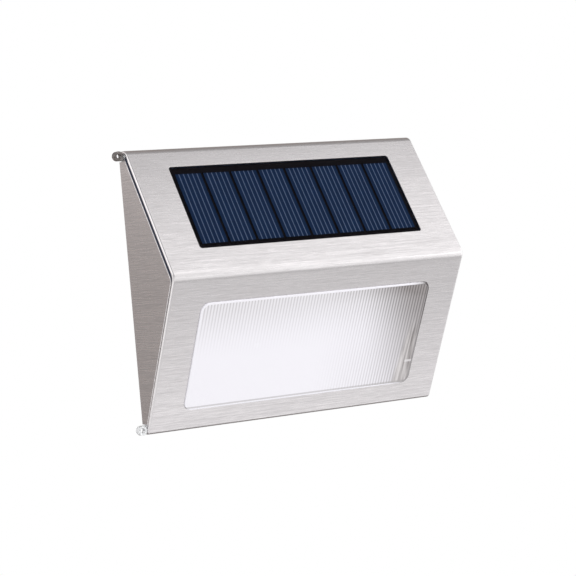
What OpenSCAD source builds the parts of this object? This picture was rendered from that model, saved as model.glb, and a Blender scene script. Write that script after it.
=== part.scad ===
// Solar fence light: a folded steel cover over a sealed inner body, with a solar panel above a ribbed lens.
// X runs along the wall, Y points into the wall, Z points up. The wall is the plane y = 0.
// The origin is the middle of the back face.

/* [Cover] */
// Width of the steel cover
cover_w = 112; // [108:1:124]
// Height of the steel cover
cover_h = 91.4; // [89:0.2:100]
// How far the fold of the nose stands out from the wall
nose_depth = 30.2; // [29.8:0.1:34]
// Height of the nose above the lower edge
nose_height = 49.6; // [48.6:0.2:53]
// Depth of the level return at the upper edge
top_flat = 4.6; // [4.4:0.1:6]
// Depth of the level return at the lower edge
bottom_flat = 3; // [2.8:0.1:3.6]
// Thickness of the steel
sheet_t = 0.6; // [0.5:0.1:0.7]
// Outer radius of the bend at the nose
nose_r = 3.5; // [2.8:0.1:4.5]
// Outer radius of the bend at the upper edge
top_r = 3; // [2.6:0.1:4]
// Outer radius of the bend at the lower edge
bottom_r = 1.6; // [1.4:0.1:2]
// Depth of the lip along each side edge
lip_h = 1; // [0.9:0.1:1.2]
// Width of the seam between the cover and a cheek at the top
seam_top = 1; // [0.6:0.1:1.3]
// Width of the same seam at the foot of the front slope
seam_bottom = 0.2; // [0.1:0.1:0.6]

/* [Solar panel] */
// Distance from the nose fold to the panel window
panel_margin = 10; // [9:0.1:12]
// Steel at each side of the panel window
panel_side = 13.1; // [12:0.1:18]
// Steel above the panel window, up to the corner of the upper edge
panel_head = 7.3; // [6.8:0.1:12]
// Corner radius of the solar panel
panel_corner_r = 0.8; // [0.5:0.1:1.5]
// Thickness of the panel board
panel_board_t = 1.2; // [1:0.1:1.4]
// Thickness of a solar cell
cell_t = 0.2; // [0.15:0.05:0.3]
// Thickness of clear resin above the cells
resin_t = 0.7; // [0.5:0.1:0.8]
// How far the resin stands proud of the steel
panel_proud = 0.3; // [0.1:0.1:0.5]
// Number of solar cells
cell_count = 8; // [6:1:10]
// Gap between two solar cells
cell_gap = 0.5; // [0.3:0.1:0.8]
// Black border at the sides and the foot of the panel
border_w = 1.2; // [0.8:0.1:2]
// Black border at the head of the panel
border_top = 2.3; // [1.5:0.1:3]
// Thickness of the foam tape that beds the panel
tape_t = 0.8; // [0.5:0.1:1]
// Width of the foam tape
tape_w = 2.4; // [2:0.1:3]

/* [Lens] */
// Distance from the nose fold to the lens window
lens_margin = 9.9; // [9.5:0.1:9.9]
// Steel at each side of the lens window
lens_side = 11.6; // [10.4:0.1:16]
// Steel below the lens window, down to the corner of the lower edge
lens_foot = 7.4; // [7.3:0.1:10]
// Corner radius of the lens window
lens_corner_r = 3.2; // [2.8:0.1:3.4]
// How far the lens stands proud of the steel
lens_proud = 0.4; // [0.2:0.1:0.6]
// Distance from one lens rib to the next
rib_pitch = 1.15; // [1:0.05:1.4]
// Height of a lens rib
rib_h = 0.35; // [0.2:0.05:0.4]
// Width of the smooth rim round the ribs
rim_w = 1; // [1:0.1:1.5]
// Width of the flange behind the steel at the sides and the head
lens_flange = 3; // [2.5:0.1:3.2]
// Width of the flange behind the steel at the foot
lens_flange_foot = 1.2; // [0.8:0.1:1.2]
// Thickness of the flange
lens_flange_t = 1.4; // [1.2:0.1:1.5]
// Thickness of the lens seal
lens_seal_t = 0.5; // [0.4:0.1:0.6]

/* [Inner body] */
// Wall of the inner body
body_wall = 1.4; // [1.2:0.1:1.6]
// Room between the inner body and the steel
body_gap = 0.1; // [0.1:0.05:0.2]
// Width of the rear rim at the top and the foot, inside the wall
rim_end = 2.5; // [2.2:0.1:3]
// Thickness of the rear rim
rim_t = 1.4; // [1.2:0.1:1.6]
// Thickness of the back seal
back_seal_t = 0.8; // [0.6:0.1:0.9]
// Outer radius of a screw boss
boss_r = 2.75; // [2.5:0.05:2.8]
// How far the shelf between battery room and light room lies below the nose fold
shelf_drop = 3.4; // [3:0.1:4]
// Thickness of the shelf
shelf_t = 1.2; // [1:0.1:1.3]

/* [Back plate] */
// Thickness of the back plate
plate_t = 2.4; // [2.2:0.1:2.5]
// Room round the back plate
plate_gap = 0.2; // [0.1:0.05:0.3]
// Outer diameter of a screw ear
ear_d = 3.1; // [2.9:0.1:3.5]
// Diameter of the hole in a screw ear
ear_hole_d = 1.6; // [1.4:0.1:1.8]
// Thickness of a screw ear
ear_t = 2; // [1.6:0.1:2.2]
// How far a screw ear lies in front of the wall
ear_setback = 1.4; // [1.2:0.1:1.6]

/* [Battery] */
// Diameter of the battery cell
cell_d = 10.5; // [10:0.1:10.6]
// Length of the battery cell without its tip
cell_len = 43.7; // [42:0.1:44]
// Length of the bay from wall to wall
bay_len = 50; // [49:0.5:52]
// Wall of the bay
bay_wall = 1.2; // [1:0.1:1.2]
// Thickness of the battery door
door_t = 1.2; // [1:0.1:1.3]
// Thickness of the door seal
door_seal_t = 0.4; // [0.3:0.1:0.5]

/* [Switch] */
// Travel of the switch slider
switch_travel = 2; // [1.5:0.1:2.2]
// Width of the switch body
switch_w = 8.6; // [8:0.1:9]
// Height of the switch body
switch_h = 3.7; // [3.4:0.1:4]
// Thickness of the switch body
switch_t = 3.5; // [3.2:0.1:3.8]
// Side of the square knob
knob_w = 1.6; // [1.4:0.1:2]

/* [Hidden] */
$fn = 48;

// Overrun of every cut past the face it goes through
over = 0.5;
// Clearance of a piece that drops into a pocket or a window
fit_gap = 0.15;
// Clearance round a screw in its hole and between sliding faces
run_gap = 0.05;
// Segments in a bend and in a rounded corner
bend_steps = 10;
corner_steps = 6;

// Lengths that follow from the sizes above
half_w = cover_w / 2;
roof_z = cover_h / 2;
floor_z = -cover_h / 2;
nose_z = nose_height + floor_z;
top_angle = atan2(nose_depth - top_flat, cover_h - nose_height);
front_angle = atan2(nose_depth - bottom_flat, nose_height);
body_inset = sheet_t + body_gap;
body_half_w = half_w - body_inset;
plate_half_w = half_w - sheet_t - plate_gap;
plate_h = cover_h - 2 * (sheet_t + plate_gap);
plate_corner_r = 0.8;
seal_y = -plate_t - back_seal_t;
rim_half_h = roof_z - body_inset - body_wall - rim_end;
rim_corner_r = 1;
rim_gap = 0.3;
ear_side_gap = 0.1;
seal_edge = 1.6;
seal_edge_foot = 2.6;

// Screws of the back plate
back_screw_r = 1.1;
back_screw_head_r = 2;
back_screw_head_t = 1.2;
back_screw_len = 5.6;
head_sink = 0.1;
tip_room = 0.3;
back_screw_x = body_half_w - body_wall / 2 - boss_r;
back_screw_rise = 16;
back_screw_drop = 12.5;
back_screw_z = [floor_z + back_screw_rise, roof_z - back_screw_drop];
boss_len = 3.4;
back_seat = head_sink + back_screw_head_t;
recess_w_share = 0.33;
recess_len_share = 0.6;

// Solar panel, measured from the outer face of the upper slope
top_len = norm([nose_depth - top_flat, cover_h - nose_height]);
panel_w = cover_w - 2 * (panel_side + fit_gap);
panel_h = top_len - panel_margin - panel_head - 2 * fit_gap;
cell_top = panel_proud - resin_t;
board_top = cell_top - cell_t;
tape_top = board_top - panel_board_t;
tray_floor_top = tape_top - tape_t;
tray_floor_t = 1.2;
tray_wall = 1.2;
panel_along = panel_margin + fit_gap + panel_h / 2;
cells_w = panel_w - 2 * border_w;
cells_h = panel_h - border_w - border_top;
cells_shift = (border_w - border_top) / 2;
cell_w = (cells_w - (cell_count - 1) * cell_gap) / cell_count;
cell_pitch = cell_w + cell_gap;

// Lens, measured from the outer face of the front slope
front_len = norm([nose_depth - bottom_flat, nose_height]);
lens_w = cover_w - 2 * lens_side;
lens_h = front_len - lens_margin - lens_foot;
rim_half_w = lens_w / 2 + lens_flange + rim_gap;
lens_bottom = -body_inset - lens_flange_t;
lens_seal_bottom = lens_bottom - lens_seal_t;
lens_seal_edge = 0.2;
rib_field_w = lens_w - 2 * fit_gap - 2 * rim_w;
rib_field_h = lens_h - 2 * fit_gap - 2 * rim_w;
rib_count = floor(rib_field_w / rib_pitch);
rib_steps = 4;
rib_root = 0.3;
rib_sink = 0.05;
rib_valley_share = 0.1;

// Reflector: a rim behind the lens seal, a level ceiling and an upright back
reflector_t = 0.8;
reflector_rim_t = 1;
reflector_rim_bottom = lens_seal_bottom - reflector_rim_t;
reflector_gap = 0.3;
reflector_back = plate_t + reflector_gap;
reflector_reach = 1.1;
chamber_side = 0.3;
ledge_t = 1.2;
ledge_w = 1.6;

// Light board below the shelf
shelf_z = nose_z - shelf_drop;
light_board_w = 80;
light_board_d = 10;
light_board_t = 1.2;
light_board_setback = 8;
light_board_y = -light_board_setback - light_board_d / 2;
light_board_z = shelf_z - light_board_t;
diode_count = 3;
diode_spacing = 28;
diode_r = 2.4;
diode_h = 2.4;
ceiling_gap = 0.3;
ceiling_z = light_board_z - ceiling_gap;

// Battery bay behind the plate
bay_room = 0.65;
bay_clear = 0.5;
bay_h = cell_d + 2 * bay_clear;
bay_z = shelf_z + shelf_t + bay_room + bay_wall + bay_h / 2;
ledge_y = -door_t - door_seal_t;
cell_y = ledge_y - bay_clear - cell_d / 2;
bay_end_y = cell_y - cell_d / 2 - bay_clear;
bay_corner_r = 0.5;
door_margin = 2;
door_wing = 7;
door_w = bay_len + 2 * door_wing;
door_h = bay_h + 2 * door_margin;
door_corner_r = 1.5;
door_screw_r = 1;
door_screw_head_r = 1.8;
door_screw_sink = 0.05;
door_screw_head_t = 0.9;
door_screw_len = 4.4;
door_screw_x = bay_len / 2 + door_wing / 2;
door_boss_r = 2.5;
door_boss_len = 3.6;
contact_t = 0.5;
contact_w = 9;
contact_gap = 0.05;
tip_r = 2.6;
tip_len = 0.8;
cell_x = bay_len / 2 - contact_gap - contact_t - tip_len - contact_gap - cell_len / 2;
spring_wire_r = 0.35;
spring_r = 2.8;
spring_turns = 4;
spring_base = -bay_len / 2 + contact_gap + contact_t;
spring_tip = cell_x - cell_len / 2;

// Control board, standing on two posts of the back plate
board_w = 40;
board_h = 11;
board_t = 1.2;
board_room = 1.55;
board_z = bay_z + bay_h / 2 + bay_wall + board_room + board_h / 2;
switch_stand = 0.8;
switch_y = -plate_t - switch_stand;
board_y = switch_y - switch_t;
board_front = board_y - board_t;
post_r = 2.2;
post_x = 17;
board_screw_r = 0.9;
board_screw_head_r = 1.7;
board_screw_head_t = 1;
board_screw_len = 4.4;
knob_sink = 0.6;
slider_w = 4.4;
slider_h = 2.4;
slider_t = 1;
switch_lid = 0.5;
well_depth = 1;
well_margin = 2.4;
switch_rest = -switch_travel / 2;
part_drop = 2.5;
part_z = board_z - part_drop;
coil_r = 2;
coil_core_r = 1.2;
coil_h = 4;
coil_flange_t = 0.8;
coil_x = -9;
capacitor_r = 2;
capacitor_h = 4.5;
capacitor_x = 9;
chip_w = 4.3;
chip_h = 3.2;
chip_t = 1.6;
chip_rise = 1.5;

// Leads, as routes of round points between the pads at their ends
lead_r = 0.45;
lead_hole_r = 0.8;
lead_sides = 6;
lead_steps = 3;
any_side = [0.31, 0.2, 0.93];
panel_lead_x = 30;
light_lead_x = 4;
light_lead_y = -16.4;
battery_lead_y = -10.5;

// Corners of the cover's outline in the Y-Z plane: upper return, nose and lower return
outline_corners = [
    [0, roof_z], [-top_flat, roof_z], [-nose_depth, nose_z], [-bottom_flat, floor_z], [0, floor_z]
];
outline_radii = [0, top_r, nose_r, bottom_r, 0];

function unit(v) = v / norm(v);
function turned(v, a) = [v[0] * cos(a) - v[1] * sin(a), v[0] * sin(a) + v[1] * cos(a)];
function inward(e) = [-e[1], e[0]];
function crossed(a, b) = a[0] * b[1] - a[1] * b[0];
function edge_after(c, i) = unit(c[(i + 1) % len(c)] - c[i]);
function edge_before(c, i) = unit(c[i] - c[(i + len(c) - 1) % len(c)]);

// Corner i of outline c after its edges move inwards by the lengths in d, one for each edge
function moved_corner(c, d, i) =
    let (a = edge_before(c, i), b = edge_after(c, i))
    let (from_a = d[(i + len(c) - 1) % len(c)] * inward(a), from_b = d[i] * inward(b))
    c[i] + from_a + a * crossed(from_b - from_a, b) / crossed(a, b);
function inset_outline(c, d) = [for (i = [0:len(c) - 1]) moved_corner(c, d, i)];

// Outline c with each corner rounded to its own radius
function rounded(c, radii, steps) = [
    for (i = [0:len(c) - 1])
        let (a = edge_before(c, i), b = edge_after(c, i))
        let (turn = atan2(crossed(a, b), a * b), r = radii[i])
        let (start = c[i] - a * r * tan(turn / 2), centre = start + inward(a) * r)
        for (k = [0:(r > 0 ? steps : 0)])
            r > 0 ? centre + turned(start - centre, turn * k / steps) : c[i]
];

// Outline of the cover drawn in by d all round, and open to the rear by the overrun
function cover_outline(d, rear) = rounded(
    inset_outline(outline_corners, [d, d, d, d, rear]),
    [for (r = outline_radii) r > d ? r - d : 0],
    bend_steps
);

// Points of a smooth route through the points p
function spline_point(p, i, t) =
    let (a = p[max(i - 1, 0)], b = p[i], c = p[i + 1], d = p[min(i + 2, len(p) - 1)])
    (2 * b + (c - a) * t + (2 * a - 5 * b + 4 * c - d) * t * t + (3 * b - a - 3 * c + d) * t * t * t) / 2;
function smooth_route(p, steps) = concat(
    [for (i = [0:len(p) - 2], k = [0:steps - 1]) spline_point(p, i, k / steps)], [p[len(p) - 1]]
);

// Directions along a route, and side vectors carried along it without twist
function directions(p) = [
    for (i = [0:len(p) - 1]) unit(p[min(i + 1, len(p) - 1)] - p[max(i - 1, 0)])
];
function across(v, d) = unit(v - (v * d) * d);
function side_vectors(d) = [
    for (i = 0, v = across(any_side, d[0]); i < len(d); i = i + 1, v = across(v, d[min(i, len(d) - 1)])) v
];

// A round bar of radius r along the points p
module bar_along(p, r, sides) {
    d = directions(p);
    v = side_vectors(d);
    rings = [
        for (i = [0:len(p) - 1], k = [0:sides - 1])
            p[i] + r * (cos(360 * k / sides) * v[i] + sin(360 * k / sides) * cross(d[i], v[i]))
    ];
    last = (len(p) - 1) * sides;
    walls = [
        for (i = [0:len(p) - 2], k = [0:sides - 1])
            let (m = (k + 1) % sides, a = i * sides, b = a + sides)
            each [[a + k, a + m, b + m], [a + k, b + m, b + k]]
    ];
    ends = [[for (k = [sides - 1:-1:0]) k], [for (k = [0:sides - 1]) last + k]];
    polyhedron(rings, [for (f = concat(walls, ends)) [for (k = [len(f) - 1:-1:0]) f[k]]]);
}

module lead(p) {
    color("firebrick") bar_along(smooth_route(p, lead_steps), lead_r, lead_sides);
}

// Drawn outline in the Y-Z plane, extruded along X from x to x + w
module along_x(x, w) {
    translate([x, 0, 0]) rotate([90, 0, 90]) linear_extrude(w) children();
}

// Frame on the upper slope: origin on the nose fold, Y up the slope, Z out of the face
module on_top(along, out) {
    translate([0, -nose_depth, nose_z]) rotate([90 - top_angle, 0, 0]) translate([0, along, out]) children();
}

// Frame on the front slope: origin on the nose fold, Y towards the nose, Z out of the face
module on_front(down, out) {
    translate([0, -nose_depth, nose_z]) rotate([90 + front_angle, 0, 0])
        translate([0, -down, out]) children();
}

// Frame on the back: X to the right, Y up and Z towards the room, from the plane at distance y off the wall
module on_back(y) {
    translate([0, y, 0]) rotate([90, 0, 0]) children();
}

// Flat plate w by h and t thick with corners of radius r, its lower face on the XY plane
module plate(w, h, t, r) {
    corners = [[w / 2, h / 2], [-w / 2, h / 2], [-w / 2, -h / 2], [w / 2, -h / 2]];
    linear_extrude(t) polygon(rounded(corners, [r, r, r, r], corner_steps));
}

// Block over the panel, larger by grow on every side, between two heights above the upper slope
module panel_field(grow, low, high) {
    on_top(panel_along, low) plate(panel_w + 2 * grow, panel_h + 2 * grow, high - low, panel_corner_r + grow);
}

// Block over the lens window, larger by its own amount at the sides, the head and the foot
module lens_field(side, head, foot, low, high) {
    down = lens_margin + (lens_h + foot - head) / 2;
    on_front(down, low)
        plate(lens_w + 2 * side, lens_h + head + foot, high - low, lens_corner_r + min(side, foot));
}

// One bent sheet with a window in each slope and a lip along each side
module cover_sheet() {
    color("silver") difference() {
        union() {
            along_x(-half_w, cover_w) difference() {
                polygon(cover_outline(0, 0));
                polygon(cover_outline(sheet_t, -over));
            }
            for (x = [-half_w, half_w - sheet_t]) along_x(x, sheet_t) difference() {
                polygon(cover_outline(0, 0));
                polygon(cover_outline(lip_h, -over));
            }
        }
        panel_field(fit_gap, -sheet_t - over, over);
        lens_field(0, 0, 0, -sheet_t - over, over);
    }
}

// Flat cheek, drawn in from the cover by the lip and the seam
module cheek(x) {
    wide = lip_h + seam_top;
    narrow = lip_h + seam_bottom;
    head = inset_outline(outline_corners, [wide, wide, wide, narrow, 0]);
    tail = inset_outline(outline_corners, [wide, wide, narrow, narrow, 0]);
    corners = [head[0], head[1], head[2], tail[3], tail[4]];
    radii = [0, top_r - wide, nose_r - wide, bottom_r - narrow, 0];
    color("darkgray") along_x(x, sheet_t) polygon(rounded(corners, radii, bend_steps));
}

// The left cheek has a notch for the neck of each screw ear
module left_cheek() {
    notch_h = ear_d + plate_gap;
    notch_d = plate_t + plate_gap;
    difference() {
        cheek(-half_w);
        for (z = [floor_z - over, roof_z - notch_h]) translate([-half_w - over, -notch_d, z])
            cube([sheet_t + 2 * over, notch_d + over, notch_h + over]);
    }
}

module right_cheek() {
    cheek(half_w - sheet_t);
}

module at_back_screws() {
    for (x = [-back_screw_x, back_screw_x], z = back_screw_z) translate([x, z, 0]) children();
}

// Section of the inner body, drawn in by d and cut off at the back seal
module body_section(d) {
    intersection() {
        polygon(cover_outline(d, -over));
        translate([-nose_depth - over, floor_z]) square([nose_depth + over + seal_y, cover_h]);
    }
}

// Dark tub that follows the cover: tray for the panel, ledge for the lens, shelf, rear rim and screw bosses
module inner_body() {
    ledge_side = lens_flange + fit_gap + ledge_t;
    ledge_foot = lens_flange_foot + fit_gap + ledge_t;
    color([0.13, 0.14, 0.16]) difference() {
        intersection() {
            along_x(-body_half_w, 2 * body_half_w) body_section(body_inset);
            union() {
                along_x(-body_half_w, 2 * body_half_w) difference() {
                    translate([-nose_depth - over, floor_z]) square([nose_depth + over, cover_h]);
                    polygon(cover_outline(body_inset + body_wall, -over));
                }
                for (x = [-body_half_w, body_half_w - body_wall])
                    translate([x, -nose_depth, floor_z]) cube([body_wall, nose_depth, cover_h]);
                translate([-body_half_w, seal_y - rim_t, floor_z]) cube([2 * body_half_w, rim_t, cover_h]);
                translate([-body_half_w, -nose_depth, shelf_z]) cube([2 * body_half_w, nose_depth, shelf_t]);
                panel_field(fit_gap + tray_wall, tray_floor_top - tray_floor_t, 0);
                lens_field(ledge_side, ledge_side, ledge_foot, reflector_rim_bottom - ledge_t, 0);
                on_back(seal_y) at_back_screws() cylinder(r = boss_r, h = rim_t + boss_len);
            }
        }
        panel_field(fit_gap, tray_floor_top, over);
        for (x = [-panel_lead_x, panel_lead_x])
            on_top(panel_along, tray_floor_top - tray_floor_t - over) translate([x, 0, 0])
                cylinder(r = lead_hole_r, h = tray_floor_t + 2 * over);
        lens_field(
            lens_flange + fit_gap, lens_flange + fit_gap, lens_flange_foot + fit_gap,
            reflector_rim_bottom, over
        );
        lens_field(
            lens_flange - ledge_w, lens_flange - ledge_w, lens_flange_foot,
            reflector_rim_bottom - ledge_t - over, over
        );
        on_back(seal_y + over) plate(2 * rim_half_w, 2 * rim_half_h, rim_t + 2 * over, rim_corner_r);
        for (x = [-light_lead_x, light_lead_x]) translate([x, light_lead_y, shelf_z - over])
            cylinder(r = lead_hole_r, h = shelf_t + 2 * over);
        on_back(seal_y + over) at_back_screws() cylinder(
            r = back_screw_r + run_gap, h = over + seal_y + back_seat + back_screw_len + tip_room
        );
    }
}

// Clear plate that closes the back: ears for the wall screws, battery bay, switch well and board posts
module back_plate() {
    bay_depth = -plate_t - bay_end_y + bay_wall;
    well_w = knob_w + switch_travel + 2 * well_margin;
    color([0.85, 0.9, 0.93, 0.6]) difference() {
        union() {
            on_back(0) plate(2 * plate_half_w, plate_h, plate_t, plate_corner_r);
            on_back(-plate_t + over) translate([0, bay_z, 0]) plate(
                bay_len + 2 * bay_wall, bay_h + 2 * bay_wall, bay_depth + over, bay_corner_r + bay_wall
            );
            for (x = [-door_screw_x, door_screw_x]) on_back(-plate_t + over) translate([x, bay_z, 0])
                cylinder(r = door_boss_r, h = door_boss_len + over);
            for (x = [-post_x, post_x]) on_back(-plate_t + over) translate([x, board_z, 0])
                cylinder(r = post_r, h = -board_y - plate_t + over);
            for (end = [0, 1]) mirror([1, 0, 0]) mirror([0, 0, end]) ear();
        }
        on_back(over) translate([0, bay_z, 0]) plate(
            door_w + 2 * fit_gap, door_h + 2 * fit_gap, over - ledge_y, door_corner_r + fit_gap
        );
        on_back(over) translate([0, bay_z, 0]) plate(bay_len, bay_h, over - bay_end_y, bay_corner_r);
        for (x = [-door_screw_x, door_screw_x]) on_back(0) translate([x, bay_z, 0])
            cylinder(r = door_screw_r + run_gap, h = door_screw_sink + door_screw_len + tip_room);
        for (side = [-1, 1]) translate([side * (bay_len + bay_wall) / 2, battery_lead_y, bay_z])
            rotate([0, 90, 0]) cylinder(r = lead_hole_r, h = bay_wall + 2 * over, center = true);
        on_back(board_front + board_screw_len + tip_room) for (x = [-post_x, post_x])
            translate([x, board_z, 0])
                cylinder(r = board_screw_r + run_gap, h = board_screw_len + tip_room - board_t + over);
        on_back(over) translate([0, board_z, 0])
            plate(well_w, knob_w + 2 * well_margin, well_depth + over, well_margin / 2);
        on_back(over) translate([0, board_z, 0]) plate(
            knob_w + switch_travel + 2 * fit_gap, knob_w + 2 * fit_gap, plate_t + 2 * over, fit_gap
        );
        on_back(over) at_back_screws() cylinder(r = back_screw_r + run_gap, h = plate_t + 2 * over);
        on_back(over) at_back_screws() cylinder(r = back_screw_head_r + fit_gap, h = over + back_seat);
    }
}

// Screw ear, drawn at the upper right and mirrored to the left corners: a round eye beside the cheek, on a
// thin neck from the edge of the plate
module ear() {
    eye_x = half_w + ear_side_gap + ear_d / 2;
    eye_z = roof_z - ear_d / 2;
    neck_foot = roof_z - ear_d;
    neck_top = roof_z - lip_h - plate_gap;
    difference() {
        union() {
            translate([eye_x, -ear_setback, eye_z]) rotate([90, 0, 0]) cylinder(d = ear_d, h = ear_t);
            translate([plate_half_w - over, -plate_t, neck_foot])
                cube([eye_x - plate_half_w + over, plate_t - ear_setback, neck_top - neck_foot]);
        }
        translate([eye_x, over, eye_z]) rotate([90, 0, 0])
            cylinder(d = ear_hole_d, h = plate_t + ear_t + 2 * over);
    }
}

// Flat gasket round the opening of the inner body, with a hole for each back screw
module back_seal() {
    low = floor_z + seal_edge_foot;
    high = roof_z - seal_edge - body_inset;
    wide = 2 * (body_half_w - seal_edge);
    color("dimgray") on_back(-plate_t) difference() {
        translate([0, (low + high) / 2, 0]) plate(wide, high - low, back_seal_t, plate_corner_r);
        translate([0, 0, -over])
            plate(2 * rim_half_w, 2 * rim_half_h, back_seal_t + 2 * over, rim_corner_r);
        translate([0, 0, -over]) at_back_screws()
            cylinder(r = back_screw_r + run_gap, h = back_seal_t + 2 * over);
    }
}

// Pan head screw along local Z, with the seat of its head at z = 0 and a cross recess
module pan_screw(r, len, head_r, head_t) {
    slot = head_r * recess_w_share;
    arm = head_r * recess_len_share;
    difference() {
        union() {
            cylinder(r = r, h = len);
            translate([0, 0, -head_t]) cylinder(r = head_r, h = head_t);
        }
        for (a = [0, 90]) rotate([0, 0, a]) translate([-arm, -slot / 2, -head_t - over])
            cube([2 * arm, slot, head_t / 2 + over]);
    }
}

module back_screws() {
    color("gainsboro") on_back(-back_seat) at_back_screws()
        pan_screw(back_screw_r, back_screw_len, back_screw_head_r, back_screw_head_t);
}

module panel_board() {
    color([0.05, 0.05, 0.07]) panel_field(0, tape_top, board_top);
}

module at_cells() {
    for (i = [0:cell_count - 1])
        translate([(i - (cell_count - 1) / 2) * cell_pitch, cells_shift, 0]) children();
}

module solar_cells() {
    color("midnightblue") on_top(panel_along, board_top) at_cells() translate([-cell_w / 2, -cells_h / 2, 0])
        cube([cell_w, cells_h, cell_t]);
}

// Clear coat over the board, cast round the cells
module panel_resin() {
    color([0.1, 0.12, 0.2, 0.3]) difference() {
        panel_field(0, board_top, panel_proud);
        on_top(panel_along, board_top - over) at_cells() translate([-cell_w / 2, -cells_h / 2, 0])
            cube([cell_w, cells_h, cell_t + over]);
    }
}

module panel_tape() {
    color("black") difference() {
        panel_field(-fit_gap, tray_floor_top, tape_top);
        panel_field(-fit_gap - tape_w, tray_floor_top - over, tape_top + over);
    }
}

// Point on the upper slope's axes: x, distance up the slope and height above the face
function top_point(x, along, out) = [
    x,
    -nose_depth + along * sin(top_angle) - out * cos(top_angle),
    nose_z + along * cos(top_angle) + out * sin(top_angle)
];

module panel_leads() {
    start = tape_top - run_gap;
    for (s = [-1, 1]) lead([
        top_point(s * panel_lead_x, panel_along, start),
        top_point(s * panel_lead_x, panel_along, start - 1.5),
        top_point(s * panel_lead_x, panel_along, start - 3), [s * 28.5, -11.4, 23.6], [s * 25, -10.4, 24.6],
        [s * 20, -10.2, 26], [s * 15, -10, 27], [s * 12.6, -9.4, 27.2], [s * 12.2, -8.8, 27.2],
        [s * 12.2, board_front - run_gap, 27.2]
    ]);
}

// Row of half-round ribs across the lens, drawn across X
module rib_row() {
    valley = rib_h * rib_valley_share;
    crest = [
        for (i = [0:rib_count - 1], k = [0:rib_steps - 1])
            let (rise = sin(180 * k / rib_steps))
            [(i + k / rib_steps - rib_count / 2) * rib_pitch, valley + (rib_h - valley) * rise]
    ];
    end = rib_count * rib_pitch / 2 + rib_root;
    polygon(concat(crest, [[end, valley], [end, -rib_root], [-end, -rib_root]]));
}

// Clear lens: flange behind the steel, pane through the window, ribs down the slope inside a smooth rim
module lens() {
    pane_top = lens_proud - rib_sink - rib_h;
    middle = lens_margin + lens_h / 2;
    color([0.95, 0.97, 1, 0.5]) union() {
        lens_field(lens_flange, lens_flange, lens_flange_foot, lens_bottom, -body_inset);
        lens_field(-fit_gap, -fit_gap, -fit_gap, -body_inset - rib_root, pane_top);
        on_front(middle, pane_top) rotate([90, 0, 0]) translate([0, 0, -rib_field_h / 2 - rib_root])
            linear_extrude(rib_field_h + 2 * rib_root) rib_row();
        difference() {
            lens_field(-fit_gap, -fit_gap, -fit_gap, pane_top - rib_root, lens_proud);
            on_front(middle, pane_top - over) translate([-rib_count * rib_pitch / 2, -rib_field_h / 2, 0])
                cube([rib_count * rib_pitch, rib_field_h, rib_h + 2 * over]);
        }
    }
}

module lens_seal() {
    side = lens_flange - lens_seal_edge;
    foot = lens_flange_foot - lens_seal_edge;
    color("dimgray") difference() {
        lens_field(side, side, foot, lens_seal_bottom, lens_bottom);
        lens_field(0, 0, 0, lens_seal_bottom - over, lens_bottom + over);
    }
}

// White tray behind the lens: a rim on the lens seal and a wedge of light room with a level ceiling
module reflector() {
    side = lens_flange - lens_seal_edge;
    foot = lens_flange_foot - lens_seal_edge;
    color("white") difference() {
        union() {
            lens_field(side, side, foot, reflector_rim_bottom, lens_seal_bottom);
            light_room(reflector_t, 0);
        }
        light_room(0, over);
        for (i = [0:diode_count - 1]) translate([diode_x(i), light_board_y, ceiling_z - reflector_t - over])
            cylinder(r = diode_r + fit_gap, h = reflector_t + 2 * over);
    }
}

// Space behind the lens, larger by the wall, and open towards the lens by front
module light_room(wall, front) {
    high = ceiling_z - reflector_t + wall;
    intersection() {
        lens_field(
            chamber_side + wall, wall - reflector_reach, wall - reflector_t,
            lens_seal_bottom - nose_depth, lens_seal_bottom + front
        );
        translate([-half_w, -nose_depth, floor_z])
            cube([cover_w, nose_depth - reflector_back - reflector_t + wall, high - floor_z]);
    }
}

function diode_x(i) = (i - (diode_count - 1) / 2) * diode_spacing;

module light_board() {
    color("whitesmoke") translate([-light_board_w / 2, light_board_y - light_board_d / 2, light_board_z])
        cube([light_board_w, light_board_d, light_board_t]);
}

// Round-nosed diodes hanging from the light board through the ceiling of the reflector
module diodes() {
    color("lightyellow") for (i = [0:diode_count - 1])
        translate([diode_x(i), light_board_y, light_board_z]) rotate([180, 0, 0]) {
            cylinder(r = diode_r, h = diode_h);
            translate([0, 0, diode_h]) rotate_extrude() intersection() {
                circle(r = diode_r);
                square(diode_r);
            }
        }
}

module light_leads() {
    for (s = [-1, 1]) lead([
        [s * 5.5, board_front - run_gap, 20.3], [s * 5.5, -8.8, 20.3], [s * 5.5, -10.5, 20.2],
        [s * 5.3, -13, 19], [s * 5, -15.4, 16.4], [s * 4.6, -16.4, 13], [s * 4.2, light_lead_y, 9],
        [s * light_lead_x, light_lead_y, 5], [s * light_lead_x, light_lead_y, 2.6],
        [s * light_lead_x, light_lead_y, shelf_z + run_gap]
    ]);
}

module control_board() {
    color("darkgreen") on_back(board_y) difference() {
        translate([0, board_z, 0]) plate(board_w, board_h, board_t, fit_gap);
        for (x = [-post_x, post_x]) translate([x, board_z, -over])
            cylinder(r = board_screw_r + run_gap, h = board_t + 2 * over);
    }
}

module driver_chip() {
    color([0.1, 0.1, 0.1]) on_back(board_front) translate([-chip_w / 2, board_z + chip_rise - chip_h / 2, 0])
        cube([chip_w, chip_h, chip_t]);
}

// Drum-shaped coil standing on the board
module storage_coil() {
    color("darkslategray") on_back(board_front) translate([coil_x, part_z, 0]) {
        cylinder(r = coil_core_r, h = coil_h);
        cylinder(r = coil_r, h = coil_flange_t);
        translate([0, 0, coil_h - coil_flange_t]) cylinder(r = coil_r, h = coil_flange_t);
        translate([0, 0, coil_flange_t])
            cylinder(r = (coil_r + coil_core_r) / 2, h = coil_h - 2 * coil_flange_t);
    }
}

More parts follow.
